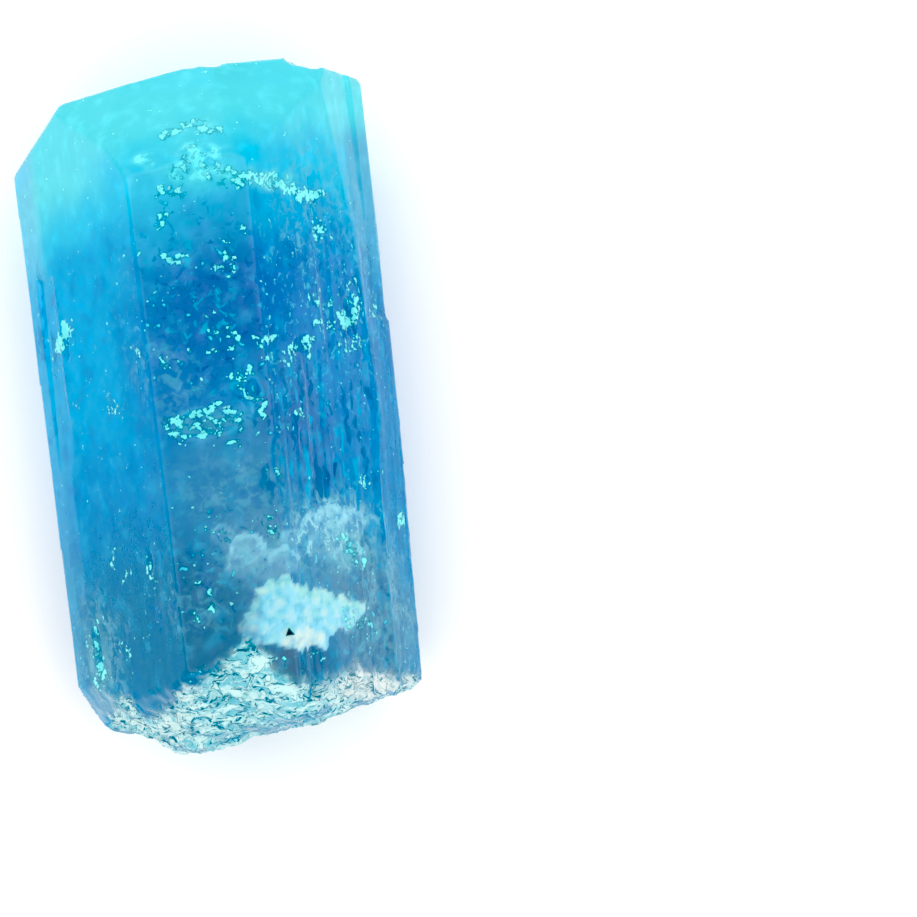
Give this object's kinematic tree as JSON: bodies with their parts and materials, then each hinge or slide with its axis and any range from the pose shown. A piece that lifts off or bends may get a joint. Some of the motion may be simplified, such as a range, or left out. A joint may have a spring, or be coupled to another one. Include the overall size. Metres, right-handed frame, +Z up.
{
  "type": "aquamarine crystal",
  "caption": "Rough aquamarine crystal: a hexagonal prism with a bevelled finished end and a broken, etched base, lying on one of its prism faces.",
  "frame": {"origin": "middle of the crystal's outline seen from above, on the surface that it rests on", "axes": "+Y along the crystal's long axis towards its finished end, +Z up out of the prism face that it shows, +X to the right seen from above with the finished end away from the viewer"},
  "size_m": [0.0316, 0.0594, 0.0271],
  "materials": {
    "aquamarine": "clear blue with a glossy, slightly striated surface and a rough etched base"
  },
  "bodies": {
    "root": {"crystal": "aquamarine"}
  },
  "joints": []
}
